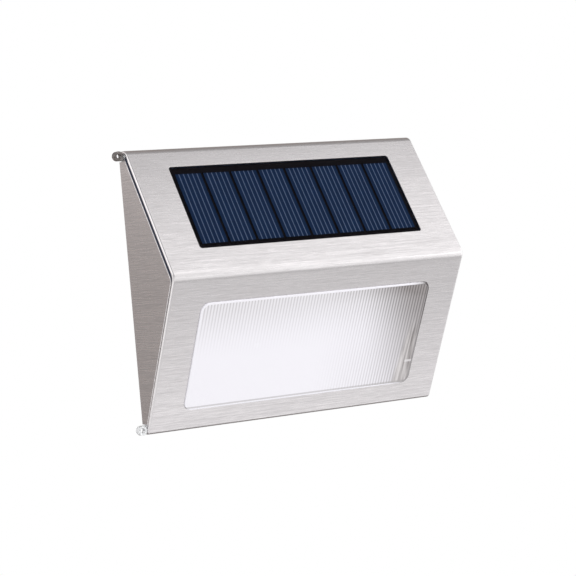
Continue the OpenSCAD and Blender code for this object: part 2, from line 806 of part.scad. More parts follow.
module capacitor() {
    groove = capacitor_r / 10;
    color("navy") on_back(board_front) translate([capacitor_x, part_z, 0]) difference() {
        cylinder(r = capacitor_r, h = capacitor_h);
        translate([0, 0, capacitor_h / 6]) rotate_extrude() translate([capacitor_r, 0]) circle(r = groove);
    }
}

module board_screws() {
    color("gainsboro") for (x = [-post_x, post_x]) translate([x, board_front, board_z]) rotate([-90, 0, 0])
        pan_screw(board_screw_r, board_screw_len, board_screw_head_r, board_screw_head_t);
}

module battery_cell() {
    color("forestgreen") translate([cell_x - cell_len / 2, cell_y, bay_z]) rotate([0, 90, 0]) {
        cylinder(d = cell_d, h = cell_len);
        translate([0, 0, cell_len - over]) cylinder(r = tip_r, h = tip_len + over);
    }
}

// Coil spring on a plate that bears on the flat end of the cell
module battery_spring() {
    steps = 10;
    length = spring_tip - contact_gap - spring_wire_r - spring_base;
    turns = [
        for (i = [0:spring_turns * steps])
            let (a = 360 * i / steps, x = spring_base + length * i / (spring_turns * steps))
            [x, cell_y + spring_r * cos(a), bay_z + spring_r * sin(a)]
    ];
    color("silver") union() {
        bar_along(turns, spring_wire_r, lead_sides);
        contact_plate(spring_base - contact_t);
    }
}

module contact_plate(x) {
    translate([x, cell_y - contact_w / 2, bay_z - contact_w / 2]) cube([contact_t, contact_w, contact_w]);
}

module battery_contact() {
    color("silver") contact_plate(bay_len / 2 - contact_gap - contact_t);
}

module battery_leads() {
    for (s = [-1, 1]) lead([
        [s * (bay_len / 2 - contact_gap + run_gap), battery_lead_y, bay_z], [s * 26.4, battery_lead_y, bay_z],
        [s * 28, battery_lead_y, bay_z + 0.8], [s * 28.6, battery_lead_y, 13.6],
        [s * 27.4, battery_lead_y, 17],
        [s * 24, battery_lead_y, 19.4], [s * 19, battery_lead_y, 20.4], [s * 15.2, battery_lead_y, 20.6],
        [s * 14, -9.6, 20.6], [s * 14, -8.8, 20.6], [s * 14, board_front - run_gap, 20.6]
    ]);
}

module at_door_screws() {
    for (x = [-door_screw_x, door_screw_x]) translate([x, bay_z, 0]) children();
}

// Countersink of a door screw along local Z, larger by grow
module door_screw_cone(grow) {
    cylinder(r1 = door_screw_head_r + grow, r2 = door_screw_r + grow, h = door_screw_head_t);
}

// Door flush with the back, with two countersunk screws and a finger groove
module battery_door() {
    groove_w = door_h / 2;
    groove = door_t / 3;
    color("whitesmoke") difference() {
        on_back(0) translate([0, bay_z, 0]) plate(door_w, door_h, door_t, door_corner_r);
        on_back(-door_screw_sink) at_door_screws() door_screw_cone(fit_gap);
        on_back(over) at_door_screws() cylinder(r = door_screw_r + run_gap, h = door_t + 2 * over);
        on_back(over) at_door_screws() cylinder(r = door_screw_head_r + fit_gap, h = over + door_screw_sink);
        for (x = [-1:1]) on_back(over) translate([x * 2 * groove_w / 5, bay_z, 0])
            plate(groove, groove_w, over + groove, groove / 2.5);
    }
}

module door_seal() {
    color("dimgray") on_back(-door_t) difference() {
        translate([0, bay_z, 0]) plate(door_w, door_h, door_seal_t, door_corner_r);
        translate([0, bay_z, -over]) plate(bay_len, bay_h, door_seal_t + 2 * over, bay_corner_r);
        translate([0, 0, -over]) at_door_screws()
            cylinder(r = door_screw_r + run_gap, h = door_seal_t + 2 * over);
    }
}

module door_screws() {
    slot = door_screw_r / 2;
    color("gainsboro") on_back(-door_screw_sink) at_door_screws() difference() {
        union() {
            door_screw_cone(0);
            cylinder(r = door_screw_r, h = door_screw_len);
        }
        for (a = [0, 90]) rotate([0, 0, a]) translate([-door_screw_r, -slot / 2, -over])
            cube([2 * door_screw_r, slot, over + door_screw_head_t / 2]);
    }
}

// Slide switch on the rear of the board: the slider's foot runs in a cavity under the lid
module switch_body() {
    cavity_w = slider_w + switch_travel + 2 * run_gap;
    slot_w = knob_w + switch_travel + 2 * run_gap;
    color("lightsteelblue") on_back(switch_y) translate([0, board_z, 0]) difference() {
        plate(switch_w, switch_h, switch_t, fit_gap);
        translate([-cavity_w / 2, -slider_h / 2 - run_gap, switch_lid])
            cube([cavity_w, slider_h + 2 * run_gap, slider_t + 2 * run_gap]);
        translate([-slot_w / 2, -knob_w / 2 - run_gap, -over])
            cube([slot_w, knob_w + 2 * run_gap, switch_lid + 2 * over]);
    }
}

// Slider at rest in the position that switches the light on
module switch_slider() {
    knob_len = -switch_y + switch_lid + run_gap - knob_sink;
    color([0.1, 0.1, 0.1]) translate([switch_rest, 0, board_z]) union() {
        on_back(switch_y - switch_lid - run_gap) translate([-slider_w / 2, -slider_h / 2, 0])
            cube([slider_w, slider_h, slider_t]);
        on_back(-knob_sink) translate([-knob_w / 2, -knob_w / 2, 0])
            cube([knob_w, knob_w, knob_len + slider_t / 2]);
    }
}

cover_sheet();
left_cheek();
right_cheek();
inner_body();
back_plate();
back_seal();
back_screws();
panel_board();
solar_cells();
panel_resin();
panel_tape();
panel_leads();
lens();
lens_seal();
reflector();
light_board();
diodes();
light_leads();
control_board();
driver_chip();
storage_coil();
capacitor();
board_screws();
battery_cell();
battery_spring();
battery_contact();
battery_leads();
battery_door();
door_seal();
door_screws();
switch_body();
switch_slider();
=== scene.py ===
import math
import bmesh
import bpy
from mathutils import Matrix, Vector


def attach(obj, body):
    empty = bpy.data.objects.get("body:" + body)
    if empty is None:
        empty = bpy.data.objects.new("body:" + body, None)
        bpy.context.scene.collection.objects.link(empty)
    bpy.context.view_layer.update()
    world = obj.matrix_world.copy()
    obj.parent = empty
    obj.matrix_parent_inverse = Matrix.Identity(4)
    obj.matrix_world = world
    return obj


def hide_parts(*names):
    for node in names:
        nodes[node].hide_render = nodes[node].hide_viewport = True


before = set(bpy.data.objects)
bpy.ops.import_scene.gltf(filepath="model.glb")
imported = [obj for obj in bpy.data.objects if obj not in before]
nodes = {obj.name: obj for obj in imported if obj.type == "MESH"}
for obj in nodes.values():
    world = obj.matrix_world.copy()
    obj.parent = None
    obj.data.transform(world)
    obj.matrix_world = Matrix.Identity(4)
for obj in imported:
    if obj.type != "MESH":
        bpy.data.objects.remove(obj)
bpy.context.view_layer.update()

# Millimetres to a metre
MM = 1000

# Sizes of the light in millimetres
HALF_W = 56.0
ROOF_Z = 45.7
FLOOR_Z = -45.7
NOSE_DEPTH = 30.2
NOSE_Z = 3.9
TOP_FLAT = 4.6
BOTTOM_FLAT = 3.0
TOP_R, NOSE_R, BOTTOM_R = 3.0, 3.5, 1.6
SHEET_T = 0.6
LIP_H = 1.0
LIP_R = 0.7
SEAM_TOP, SEAM_BOTTOM = 1.0, 0.2
FIT_GAP = 0.15
PANEL_MARGIN, PANEL_SIDE, PANEL_HEAD = 10.0, 13.1, 7.3
PANEL_CORNER_R, PANEL_PROUD = 0.8, 0.3
BORDER_W, BORDER_TOP, CELL_COUNT, CELL_GAP = 1.2, 2.3, 8, 0.5
LENS_MARGIN, LENS_SIDE, LENS_FOOT = 9.9, 11.6, 7.4
LENS_CORNER_R, LENS_PROUD = 3.2, 0.4
RIB_PITCH, RIB_H, RIM_W, RIB_ROOT = 1.15, 0.35, 0.7, 0.3
LENS_GAP = 0.05
EAR_NOTCH_H, EAR_NOTCH_D = 3.3, 2.6

# Sizes of the visible pieces alone, in millimetres
SEAM_MORE = 0.25
COVER_EDGE, CHEEK_EDGE, COAT_EDGE, LENS_EDGE = 0.1, 0.2, 0.2, 0.3
COAT_LOW, LENS_LOW = -0.35, -2.0
RIM_STEP, RIM_SOFT = 0.06, 0.12

# Camera fitted to the straight edges of the cover, in metres, degrees and millimetres
CAMERA_PLACE = (-0.334117, -0.547587, 0.005538)
CAMERA_TURN = (89.2344, 4.9661, -31.7186)
CAMERA_LENS, CAMERA_SENSOR = 118.765, 36

FLOOR_HALF, FLOOR_PLACE = 0.55, (0, -0.1, -0.30)

# Colours that several finishes share
WHITE = (1.0, 1.0, 1.0)
INK = (0.004, 0.0035, 0.005)
SHADOW = (0.12, 0.11, 0.11)

OUTLINE = [(0, ROOF_Z), (-TOP_FLAT, ROOF_Z), (-NOSE_DEPTH, NOSE_Z), (-BOTTOM_FLAT, FLOOR_Z), (0, FLOOR_Z)]
top_angle = math.atan2(NOSE_DEPTH - TOP_FLAT, ROOF_Z - NOSE_Z)
front_angle = math.atan2(NOSE_DEPTH - BOTTOM_FLAT, NOSE_Z - FLOOR_Z)
top_len = math.hypot(NOSE_DEPTH - TOP_FLAT, ROOF_Z - NOSE_Z)
front_len = math.hypot(NOSE_DEPTH - BOTTOM_FLAT, NOSE_Z - FLOOR_Z)
panel_w = 2 * (HALF_W - PANEL_SIDE - FIT_GAP)
panel_h = top_len - PANEL_MARGIN - PANEL_HEAD - 2 * FIT_GAP
panel_along = PANEL_MARGIN + FIT_GAP + panel_h / 2
lens_w = 2 * (HALF_W - LENS_SIDE)
lens_h = front_len - LENS_MARGIN - LENS_FOOT
lens_down = LENS_MARGIN + lens_h / 2
cell_w = (panel_w - 2 * BORDER_W - (CELL_COUNT - 1) * CELL_GAP) / CELL_COUNT
cell_pitch = cell_w + CELL_GAP
rib_count = math.floor((lens_w - 2 * LENS_GAP - 2 * RIM_W) / RIB_PITCH)

# Places of flat work: X along the wall, Y up the slope, Z out of the face
nose_fold = Matrix.Translation((0, -NOSE_DEPTH, NOSE_Z))
on_top = nose_fold @ Matrix.Rotation(math.pi / 2 - top_angle, 4, "X")
on_front = nose_fold @ Matrix.Rotation(math.pi / 2 + front_angle, 4, "X")


class Level:
    """A number that varies over a surface. Python's operators on it add the Math nodes."""

    def __init__(self, finish, socket):
        self.finish = finish
        self.socket = socket

    def math(self, operation, first, second=0.0):
        node = self.finish.add("Math", {0: first, 1: second}, operation=operation)
        return Level(self.finish, node.outputs[0])

    def __add__(self, other):
        return self.math("ADD", self, other)

    def __radd__(self, other):
        return self.math("ADD", other, self)

    def __sub__(self, other):
        return self.math("SUBTRACT", self, other)

    def __rsub__(self, other):
        return self.math("SUBTRACT", other, self)

    def __mul__(self, other):
        return self.math("MULTIPLY", self, other)

    def __truediv__(self, other):
        return self.math("DIVIDE", self, other)

    def __abs__(self):
        return self.math("ABSOLUTE", self)

    def fract(self):
        return self.math("FRACT", self)

    def over(self, limit):
        return self.math("GREATER_THAN", self, limit)

    def least(self, other):
        return self.math("MINIMUM", self, other)

    def most(self, other):
        return self.math("MAXIMUM", self, other)

    def wave(self):
        return self.math("SINE", self)

    def root(self):
        return self.math("SQRT", self)

    def fade(self, start, end):
        """0 at start and 1 at end, with a smooth rise between them."""
        values = {"Value": self, "From Min": start, "From Max": end}
        node = self.finish.add("MapRange", values, interpolation_type="SMOOTHSTEP")
        return Level(self.finish, node.outputs["Result"])


class Finish:
    """A material made of nodes, or with a tree given, the nodes of the surroundings."""

    def __init__(self, name, tree=None, **constants):
        self.material = None
        if tree is None:
            self.material = bpy.data.materials.new(name)
            self.material.use_nodes = True
            tree = self.material.node_tree
        self.tree = tree
        tree.nodes.clear()
        if self.material:
            self.shader = self.add("BsdfPrincipled", {k.replace("_", " "): v for k, v in constants.items()})
            self.output = self.add("OutputMaterial", {"Surface": self.shader.outputs[0]})
            place = self.add("TexCoord").outputs["Object"]
            parts = self.add("SeparateXYZ", {0: place}).outputs
            self.x, self.y, self.z = [Level(self, part) for part in parts]

    def add(self, kind, values=None, **settings):
        """Adds a node. Its settings come first, then the values or links of its sockets."""
        node = self.tree.nodes.new("ShaderNode" + kind)
        for name, value in settings.items():
            setattr(node, name, value)
        for key, value in (values or {}).items():
            self.set(node, key, value)
        return node

    def set(self, node, key, value):
        socket = node.inputs[key]
        if isinstance(value, Level):
            value = value.socket
        if isinstance(value, bpy.types.NodeSocket):
            self.tree.links.new(value, socket)
        elif socket.type == "RGBA" and len(value) == 3:
            socket.default_value = (*value, 1)
        else:
            socket.default_value = value

    def noise(self, scales, detail, roughness=0.5, shift=0.0):
        """Noise with its own number of features per metre along each axis."""
        across = [axis * scale + shift for axis, scale in zip((self.x, self.y, self.z), scales)]
        at = self.add("CombineXYZ", dict(enumerate(across))).outputs[0]
        values = {"Vector": at, "Scale": 1.0, "Detail": detail, "Roughness": roughness}
        return Level(self, self.add("TexNoise", values).outputs[0])

    def mix(self, share, first, second):
        node = self.add("Mix", {0: share, 6: first, 7: second}, data_type="RGBA")
        return node.outputs[2]

    def colour(self, value):
        self.set(self.shader, "Base Color", value)

    def rough(self, value):
        self.set(self.shader, "Roughness", value)

    def relief(self, height, distance, strength):
        """Bump of the given height pattern, distance in millimetres."""
        bump = self.add("Bump", {"Height": height, "Distance": distance / MM, "Strength": strength})
        self.set(self.shader, "Normal", bump.outputs[0])


def brushed_steel(name, grain):
    """Stainless steel with fine wavy scratches along the X axis, or along Y on the cheeks.

    They fade where the lips of the cover turn and at the outer edges of the cheeks.
    """
    steel = Finish(name, Metallic=1.0)
    slow, fine, wide = {"x": ((60, 2600, 2600), (260, 5200, 5200), (20, 600, 600)),
                        "y": ((1, 45, 2300), (1, 130, 4200), (1, 20, 600))}[grain]
    streak = steel.noise(slow, 4, 0.6)
    hair = steel.noise(fine, 2, 0.5, 7.0)
    cloud = steel.noise(wide, 2, 0.5, 3.0)
    scratch = streak * 0.5 + hair * 0.4 + cloud * 0.1
    inner, outer = {"x": (55.5, 55.1), "y": (55.85, 55.97)}[grain]
    brushed = abs(steel.x * MM).fade(inner, outer) * 0.85 + 0.15
    tone = (scratch - 0.5) * brushed * {"x": 3.0, "y": 4.2}[grain] + 0.5
    dark, light = {"x": ((0.67, 0.648, 0.656), (0.94, 0.91, 0.92)),
                   "y": ((0.62, 0.60, 0.607), (0.99, 0.958, 0.969))}[grain]
    steel.colour(steel.mix(tone, dark, light))
    steel.rough(0.29 - (scratch - 0.5) * brushed * 0.4)
    steel.relief(scratch * brushed, 0.03, 0.4)
    return steel.material


def moulded(name, base, light, rough, grain=900, bump=0.03, **constants):
    """Moulded plastic or rubber with a fine grain and a little change of shade."""
    plastic = Finish(name, **constants)
    cloud = plastic.noise((60, 60, 60), 3)
    fine = plastic.noise((grain, grain, grain), 3, 0.6, 5.0)
    plastic.colour(plastic.mix(cloud * 0.6 + fine * 0.4, base, light))
    plastic.rough((fine - 0.5) * 0.2 + rough)
    plastic.relief(fine, bump, 0.5)
    return plastic.material


def plated(name, dark, light, rough):
    """Plated metal with faint tool marks."""
    metal = Finish(name, Metallic=1.0)
    marks = metal.noise((1400, 1400, 1400), 4, 0.6)
    metal.colour(metal.mix(marks, dark, light))
    metal.rough((marks - 0.5) * 0.25 + rough)
    metal.relief(marks, 0.01, 0.4)
    return metal.material


def cell_blue():
    """Silicon with five bright conductors to a cell, finer fingers between them and black ends."""
    cell = Finish("cell_blue", Specular_IOR_Level=0.02)
    mm_x = cell.x * MM
    place = ((mm_x + cell_pitch * CELL_COUNT / 2) / cell_pitch).fract() * (cell_pitch / cell_w)
    place = place - CELL_GAP / 2 / cell_w
    conductor = 1 - abs((place * 6).fract() - 0.5).fade(0.5, 0.30)
    bright = abs((place * 6 + 0.5).fract() - 0.5).fade(0.13, 0.05)
    finger = abs((place * 24).fract() - 0.5).fade(0.1, 0.4)
    grain = cell.noise((900, 900, 900), 3)
    tone = finger * 0.7 + (grain - 0.5) * 0.4 + conductor * 0.1
    blue = cell.mix(tone, (0.0048, 0.0153, 0.046), (0.0096, 0.03, 0.084))
    inside = place.fade(0.05, 0.1) * place.fade(0.95, 0.9)
    up = (cell.y * MM + NOSE_DEPTH) * math.sin(top_angle) + (cell.z * MM - NOSE_Z) * math.cos(top_angle)
    up = up - PANEL_MARGIN - FIT_GAP
    foot, head = BORDER_W, panel_h - BORDER_TOP
    ends = up.fade(foot + 0.65, foot + 0.45) + up.fade(head - 0.45, head - 0.25)
    edge = (place.fade(0.035, 0.015) + place.fade(0.965, 0.985) + ends).least(1.0)
    blue = cell.mix(edge, blue, INK)
    cell.colour(cell.mix(bright * inside * (1 - ends) * 0.95, blue, (0.115, 0.155, 0.26)))
    cell.rough(0.35 - bright * 0.1)
    return cell.material


def lens_white():
    """Ribbed lens over the white light room, with painted shade: grey rib valleys at its head and its right
    end, a darker head, a dim right side, a see-through right end with painted reflection streaks, a painted
    highlight bar, and dark painted lines along its right edge and foot.
    """
    lens = Finish("lens_white", IOR=1.3, Specular_IOR_Level=0.35)
    deep, high = lens.y + NOSE_DEPTH / MM, lens.z - NOSE_Z / MM
    down = deep * math.sin(front_angle) - high * math.cos(front_angle)
    down = (down * MM - LENS_MARGIN) / lens_h
    across = lens.x * MM / lens_w + 0.5
    rib = (lens.x * MM / RIB_PITCH + rib_count / 2).fract()
    valley = 1 - (rib * math.pi).wave()
    corner = LENS_CORNER_R - LENS_GAP - RIM_W
    past_x = abs(across - 0.5) * lens_w - (lens_w / 2 - LENS_GAP - RIM_W - corner)
    past_y = abs(down - 0.5) * lens_h - (lens_h / 2 - LENS_GAP - RIM_W - corner)
    round_x, round_y = past_x.most(0.0), past_y.most(0.0)
    border = (round_x * round_x + round_y * round_y).root() + past_x.most(past_y).least(0.0) - corner
    in_field = border.fade(0.06, -0.06)
    head = (1 - down).fade(0.42, 1.1)
    right = across.fade(0.5, 1.0)
    # Painted shade in the rib valleys, strongest at the head and the right end
    valley_shade = valley * (head * 0.66 + right * 0.75).least(1.0) * in_field
    shade = (1 - down).fade(0.6, 1.1) * in_field
    pale = lens.mix(shade, (0.89, 0.875, 0.92), (0.815, 0.80, 0.825))
    # Painted shade over the right side of the lens, a wedge that widens towards the head
    right_shade = (across - down * 0.12).fade(0.66, 0.97) * (1 - down * 0.5)
    right_shade = (right_shade + down.fade(0.16, 0.02) * across.fade(0.4, 0.8) * 0.2).least(1.0) * in_field
    pale = lens.mix(right_shade, pale, (0.355, 0.328, 0.326))
    # Valley colour of the painted shade, near SHADOW where the right side is painted dim
    dark = lens.mix(right_shade, (0.34, 0.32, 0.325), SHADOW)
    ribs_with_valley_shade = lens.mix(valley_shade * 0.95, pale, dark)
    cloud = lens.noise((90, 120, 120), 3)
    # Painted see-through right end: the noise streaks are a painted reflection, and the dark greys and the
    # shaded mask are painted shade
    streak = lens.noise((1100, 60, 60), 3, 0.6, 2.0)
    wall = (across - (0.972 - down * 0.052)).fade(-0.014, 0.01) * down.fade(0.3, 0.55) * in_field
    shaded = across.fade(0.955, 0.985) * (1 - down).fade(0.05, 0.25) * 0.45
    clear_end_shade_and_reflection = lens.mix((streak - 0.5) * 3 + 0.6 - shaded, (0.16, 0.14, 0.138), (0.70, 0.67, 0.665))
    body = lens.mix(wall * 0.85, ribs_with_valley_shade, clear_end_shade_and_reflection)
    # Painted shade over the rim on the right part of the lens
    right_rim_shade = border.fade(-0.10, 0.0) * border.fade(0.14, 0.04) * across.fade(0.6, 0.95)
    body = lens.mix(right_rim_shade * 0.8, body, SHADOW)
    # Painted highlight: a small light bar near the lower right end
    highlight_bar = abs(down - 0.772).fade(0.016, 0.006) * across.fade(0.955, 0.965) * in_field
    body = lens.mix(highlight_bar * 0.75, body, (0.76, 0.74, 0.75))
    # Painted shade: thin dark lines along the foot of the lens and along the rim at its right end
    foot_shade_line = down.fade(0.962, 0.968) * down.fade(0.984, 0.978) * 0.7
    rim = (border.fade(0.0, 0.1) * across.fade(0.9, 0.985) + foot_shade_line).least(1.0)
    body = lens.mix(rim * 0.8, body, (0.42, 0.40, 0.40))
    # Painted shade: a near-black line along the outer right edge, where the lens meets the steel
    outer = border.fade(0.0, 0.25) * across.fade(0.955, 0.985) * ((1 - down).fade(0.3, 0.8) * 0.45 + 0.5)
    lens.colour(lens.mix(outer, body, (0.08, 0.068, 0.068)))
    lens.rough(0.22 + cloud * 0.08)
    return lens.material


def resin_clear():
    """Clear cast coat of the panel."""
    coat = Finish("resin_clear", Specular_IOR_Level=0.015)
    ripple = coat.noise((120, 120, 120), 2)
    coat.colour(coat.mix(ripple, (0.004, 0.0035, 0.004), (0.008, 0.007, 0.008)))
    coat.rough(0.16 + ripple * 0.08)
    coat.set(coat.shader, "Alpha", 0.06 + ripple * 0.04)
    coat.relief(ripple, 0.02, 0.3)
    return coat.material


def clear_plastic():
    """Clear moulded plastic of the back plate and the screw ears, with painted shade on the upper ear that
    stands in for the shaded metal seen through it.
    """
    clear = Finish("clear_plastic", Transmission_Weight=0.45, IOR=1.42)
    swirl = clear.noise((260, 260, 260), 3)
    # Painted shade on the upper ear: dark mottled greys for the shaded cheek seen through the clear plastic
    upper_ear_shade = clear.z.fade(0.040, 0.043) * clear.x.fade(-0.0555, -0.0565)
    pale = clear.mix(swirl, (0.93, 0.94, 0.95), (0.98, 0.985, 0.99))
    dark = clear.mix((swirl - 0.5) * 4 + 0.5, (0.10, 0.087, 0.082), (0.42, 0.375, 0.36))
    clear.colour(clear.mix(upper_ear_shade, pale, dark))
    clear.rough(0.05 + swirl * 0.12)
    clear.relief(swirl, 0.06, 0.4)
    return clear.material


def diode_cast():
    """Cast lens of a diode, with the yellow layer showing at its middle."""
    cast = Finish("diode_cast")
    swirl = cast.noise((700, 700, 700), 2)
    depth = ((cast.z * MM + 5.5) / 4).fade(0.0, 1.0)
    cast.colour(cast.mix(depth * 0.8 + swirl * 0.2, (0.93, 0.86, 0.42), (0.93, 0.92, 0.86)))
    cast.rough(0.12 + swirl * 0.1)
    return cast.material


def lacquered_board():
    """Green circuit board with copper runs under the lacquer."""
    board = Finish("green_board")
    run = abs((board.x * 420).fract() - 0.5).fade(0.36, 0.42) * board.noise((160, 160, 90), 0).over(0.5)
    weave = board.noise((2200, 2200, 2200), 2)
    green = board.mix(weave, (0.012, 0.10, 0.035), (0.02, 0.16, 0.06))
    board.colour(board.mix(run * 0.6, green, (0.10, 0.32, 0.10)))
    board.rough(0.3 + weave * 0.15)
    board.relief(run, 0.03, 0.5)
    return board.material


def wound_coil():
    """Coil with turns of lacquered wire between dark flanges."""
    coil = Finish("wound_coil")
    turns = abs((coil.y * 3200).fract() - 0.5)
    core = abs(coil.y * MM + 11.0).fade(1.4, 1.2)
    copper = coil.mix(turns * 2, (0.16, 0.05, 0.02), (0.62, 0.28, 0.12))
    coil.colour(coil.mix(core, (0.05, 0.05, 0.05), copper))
    coil.rough(0.45 + turns * 0.2)
    coil.relief(turns * core, 0.05, 0.6)
    return coil.material


def cell_sleeve():
    """Plain green sleeve of the battery with bare metal at both ends."""
    sleeve = Finish("cell_sleeve")
    along = abs(sleeve.x * MM - 1.2)
    metal = along.fade(21.0, 21.3)
    band = along.fade(15.0, 15.2) * (1 - metal)
    grain = sleeve.noise((80, 900, 900), 3)
    paint = sleeve.mix(grain, (0.02, 0.20, 0.07), (0.03, 0.28, 0.10))
    paint = sleeve.mix(band, paint, (0.75, 0.75, 0.74))
    sleeve.colour(sleeve.mix(metal, paint, (0.6, 0.6, 0.6)))
    sleeve.set(sleeve.shader, "Metallic", metal)
    sleeve.rough(0.3 + grain * 0.15)
    return sleeve.material


steel_along = brushed_steel("steel_along", "x")
steel_deep = brushed_steel("steel_deep", "y")
dark_plastic = moulded("dark_plastic", (0.012, 0.027, 0.065), (0.02, 0.04, 0.095), 0.5)
clear_back = clear_plastic()
seal_foam = moulded("seal_foam", (0.03, 0.03, 0.03), (0.07, 0.07, 0.07), 0.85, 1600, 0.12)
screw_steel = plated("screw_steel", (0.45, 0.45, 0.46), (0.66, 0.66, 0.67), 0.28)
black_board = moulded("black_board", INK, (0.008, 0.007, 0.009), 0.45, 700, 0.01,
                      Specular_IOR_Level=0.02)
white_plastic = moulded("white_plastic", (0.84, 0.84, 0.85), (0.90, 0.90, 0.91), 0.3)
white_board = moulded("white_board", (0.78, 0.78, 0.76), (0.86, 0.86, 0.84), 0.4, 1500)
red_lead = moulded("red_lead", (0.42, 0.02, 0.015), (0.58, 0.04, 0.03), 0.4, 1200)
black_part = moulded("black_part", (0.015, 0.015, 0.015), (0.03, 0.03, 0.03), 0.45, 1800)
capacitor_sleeve = moulded("capacitor_sleeve", (0.012, 0.02, 0.12), (0.02, 0.035, 0.2), 0.25)
nickel = plated("nickel", (0.48, 0.47, 0.44), (0.66, 0.65, 0.62), 0.25)
door_plastic = moulded("door_plastic", (0.66, 0.68, 0.69), (0.76, 0.78, 0.79), 0.42)

NODE_FINISHES = {
    "inner_body": dark_plastic, "back_plate": clear_back, "back_seal": seal_foam, "panel_board": black_board,
    "solar_cells": cell_blue(), "panel_tape": seal_foam, "panel_leads": red_lead, "lens_seal": seal_foam,
    "reflector": white_plastic, "light_board": white_board, "diodes": diode_cast(), "light_leads": red_lead,
    "control_board": lacquered_board(), "driver_chip": black_part, "storage_coil": wound_coil(),
    "capacitor": capacitor_sleeve, "board_screws": screw_steel, "back_screws": screw_steel,
    "battery_cell": cell_sleeve(), "battery_spring": nickel, "battery_contact": nickel,
    "battery_leads": red_lead, "battery_door": door_plastic, "door_seal": seal_foam,
    "door_screws": screw_steel, "switch_body": nickel, "switch_slider": black_part,
}
for node_name, finish in NODE_FINISHES.items():
    for material_slot in nodes[node_name].material_slots:
        material_slot.material = finish

SOFT_EDGES = {"battery_door": 0.3, "back_screws": 0.12, "door_screws": 0.12, "switch_slider": 0.1,
              "switch_body": 0.1, "back_plate": 0.2}
for node_name, width in SOFT_EDGES.items():
    soft_edge = nodes[node_name].modifiers.new("soft_edge", "BEVEL")
    soft_edge.width = width / MM
    soft_edge.segments = 3
    soft_edge.limit_method = "ANGLE"
    soft_edge.angle_limit = math.radians(40)
    soft_edge.harden_normals = True


def moved_corners(corners, depths):
    """The outline's corners after each edge, named by its first corner, moves inwards by its own depth."""
    lines = []
    for i, corner in enumerate(corners):
        start = Vector(corner)
        step = (Vector(corners[(i + 1) % len(corners)]) - start).normalized()
        lines.append((start + Vector((-step.y, step.x)) * depths[i], step))
    moved = []
    for i, (start, step) in enumerate(lines):
        before, way = lines[i - 1]
        gap = start - before
        moved.append(before + way * ((gap.x * step.y - gap.y * step.x) / (way.x * step.y - way.y * step.x)))
    return [tuple(point) for point in moved]


def prism(outline, low_x, high_x):
    """A solid with the given outline in the Y-Z plane."""
    bm = bmesh.new()
    face = bm.faces.new([bm.verts.new((low_x, y, z)) for y, z in outline])
    grown = bmesh.ops.extrude_face_region(bm, geom=[face], use_keep_orig=True)["geom"]
    ends = [v for v in grown if isinstance(v, bmesh.types.BMVert)]
    bmesh.ops.translate(bm, verts=ends, vec=(high_x - low_x, 0, 0))
    bmesh.ops.recalc_face_normals(bm, faces=bm.faces)
    return bm


def round_edges(bm, edges, radius, steps):
    """Rounds straight edges to a real radius, from the angle at which their faces meet."""
    turn = edges[0].calc_face_angle()
    bmesh.ops.bevel(bm, geom=edges, offset=radius * math.tan(turn / 2), offset_type="OFFSET", segments=steps,
                    profile=0.5, affect="EDGES", material=-1)


def fold_edges(bm, corner):
    """The edges that run along X through a corner of the outline."""
    return [e for e in bm.edges if all((Vector(v.co.yz) - Vector(corner)).length < 0.01 for v in e.verts)]


def soften(bm, edges, width, steps):
    """Rounds edges off over the given width."""
    bmesh.ops.bevel(bm, geom=edges, offset=width, offset_type="OFFSET", segments=steps, profile=0.5,
                    affect="EDGES", material=-1)


def rounded_face(bm, wide, high, radius, level, steps=8):
    """A flat face with round corners, centred, at the given level."""
    corners = bmesh.ops.create_grid(bm, x_segments=1, y_segments=1, size=0.5)["verts"]
    bmesh.ops.scale(bm, verts=corners, vec=(wide, high, 1))
    bmesh.ops.translate(bm, verts=corners, vec=(0, 0, level))
    made = bmesh.ops.bevel(bm, geom=corners, offset=radius, offset_type="OFFSET", segments=steps, profile=0.5,
                           affect="VERTICES", material=-1)
    return made["verts"][0].link_faces[0]


def thick_plate(wide, high, radius, low, top, edge, steps):
    """A plate with round corners and a softened upper edge. Returns the mesh and its upper face."""
    bm = bmesh.new()
    face = rounded_face(bm, wide, high, radius, low, steps)
    grown = bmesh.ops.extrude_face_region(bm, geom=[face], use_keep_orig=True)["geom"]
    ends = [v for v in grown if isinstance(v, bmesh.types.BMVert)]
    bmesh.ops.translate(bm, verts=ends, vec=(0, 0, top - low))
    bmesh.ops.recalc_face_normals(bm, faces=bm.faces)
    rim = [e for e in bm.edges if all(v.co.z > top - 0.001 for v in e.verts)]
    soften(bm, rim, edge, 4)
    return bm, max(bm.faces, key=lambda f: f.calc_center_median().z + f.calc_area())


def once(items):
    """The items in their order, without repeats."""
    return list(dict.fromkeys(items))


def add_piece(name, bm, finish, replaced, place=None, sharp=40, sheet=0.0, edge=0.0):
    """Turns a mesh in millimetres into a finished piece of the light."""
    if place is not None:
        bmesh.ops.transform(bm, matrix=place, verts=bm.verts)
    bmesh.ops.scale(bm, verts=bm.verts, vec=(1 / MM, 1 / MM, 1 / MM))
    mesh = bpy.data.meshes.new(name)
    bm.to_mesh(mesh)
    bm.free()
    piece = bpy.data.objects.new(name, mesh)
    bpy.context.scene.collection.objects.link(piece)
    mesh.materials.append(finish)
    mesh.shade_smooth()
    mesh.set_sharp_from_angle(angle=math.radians(sharp))
    if sheet:
        wall = piece.modifiers.new("sheet", "SOLIDIFY")
        wall.thickness = sheet / MM
        wall.offset = -1
        wall.use_even_offset = True
    if edge:
        round_over = piece.modifiers.new("edge", "BEVEL")
        round_over.width = edge / MM
        round_over.segments = 2
        round_over.limit_method = "ANGLE"
        round_over.angle_limit = math.radians(50)
    piece.modifiers.new("normals", "WEIGHTED_NORMAL").keep_sharp = True
    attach(piece, "housing")
    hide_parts(*replaced)


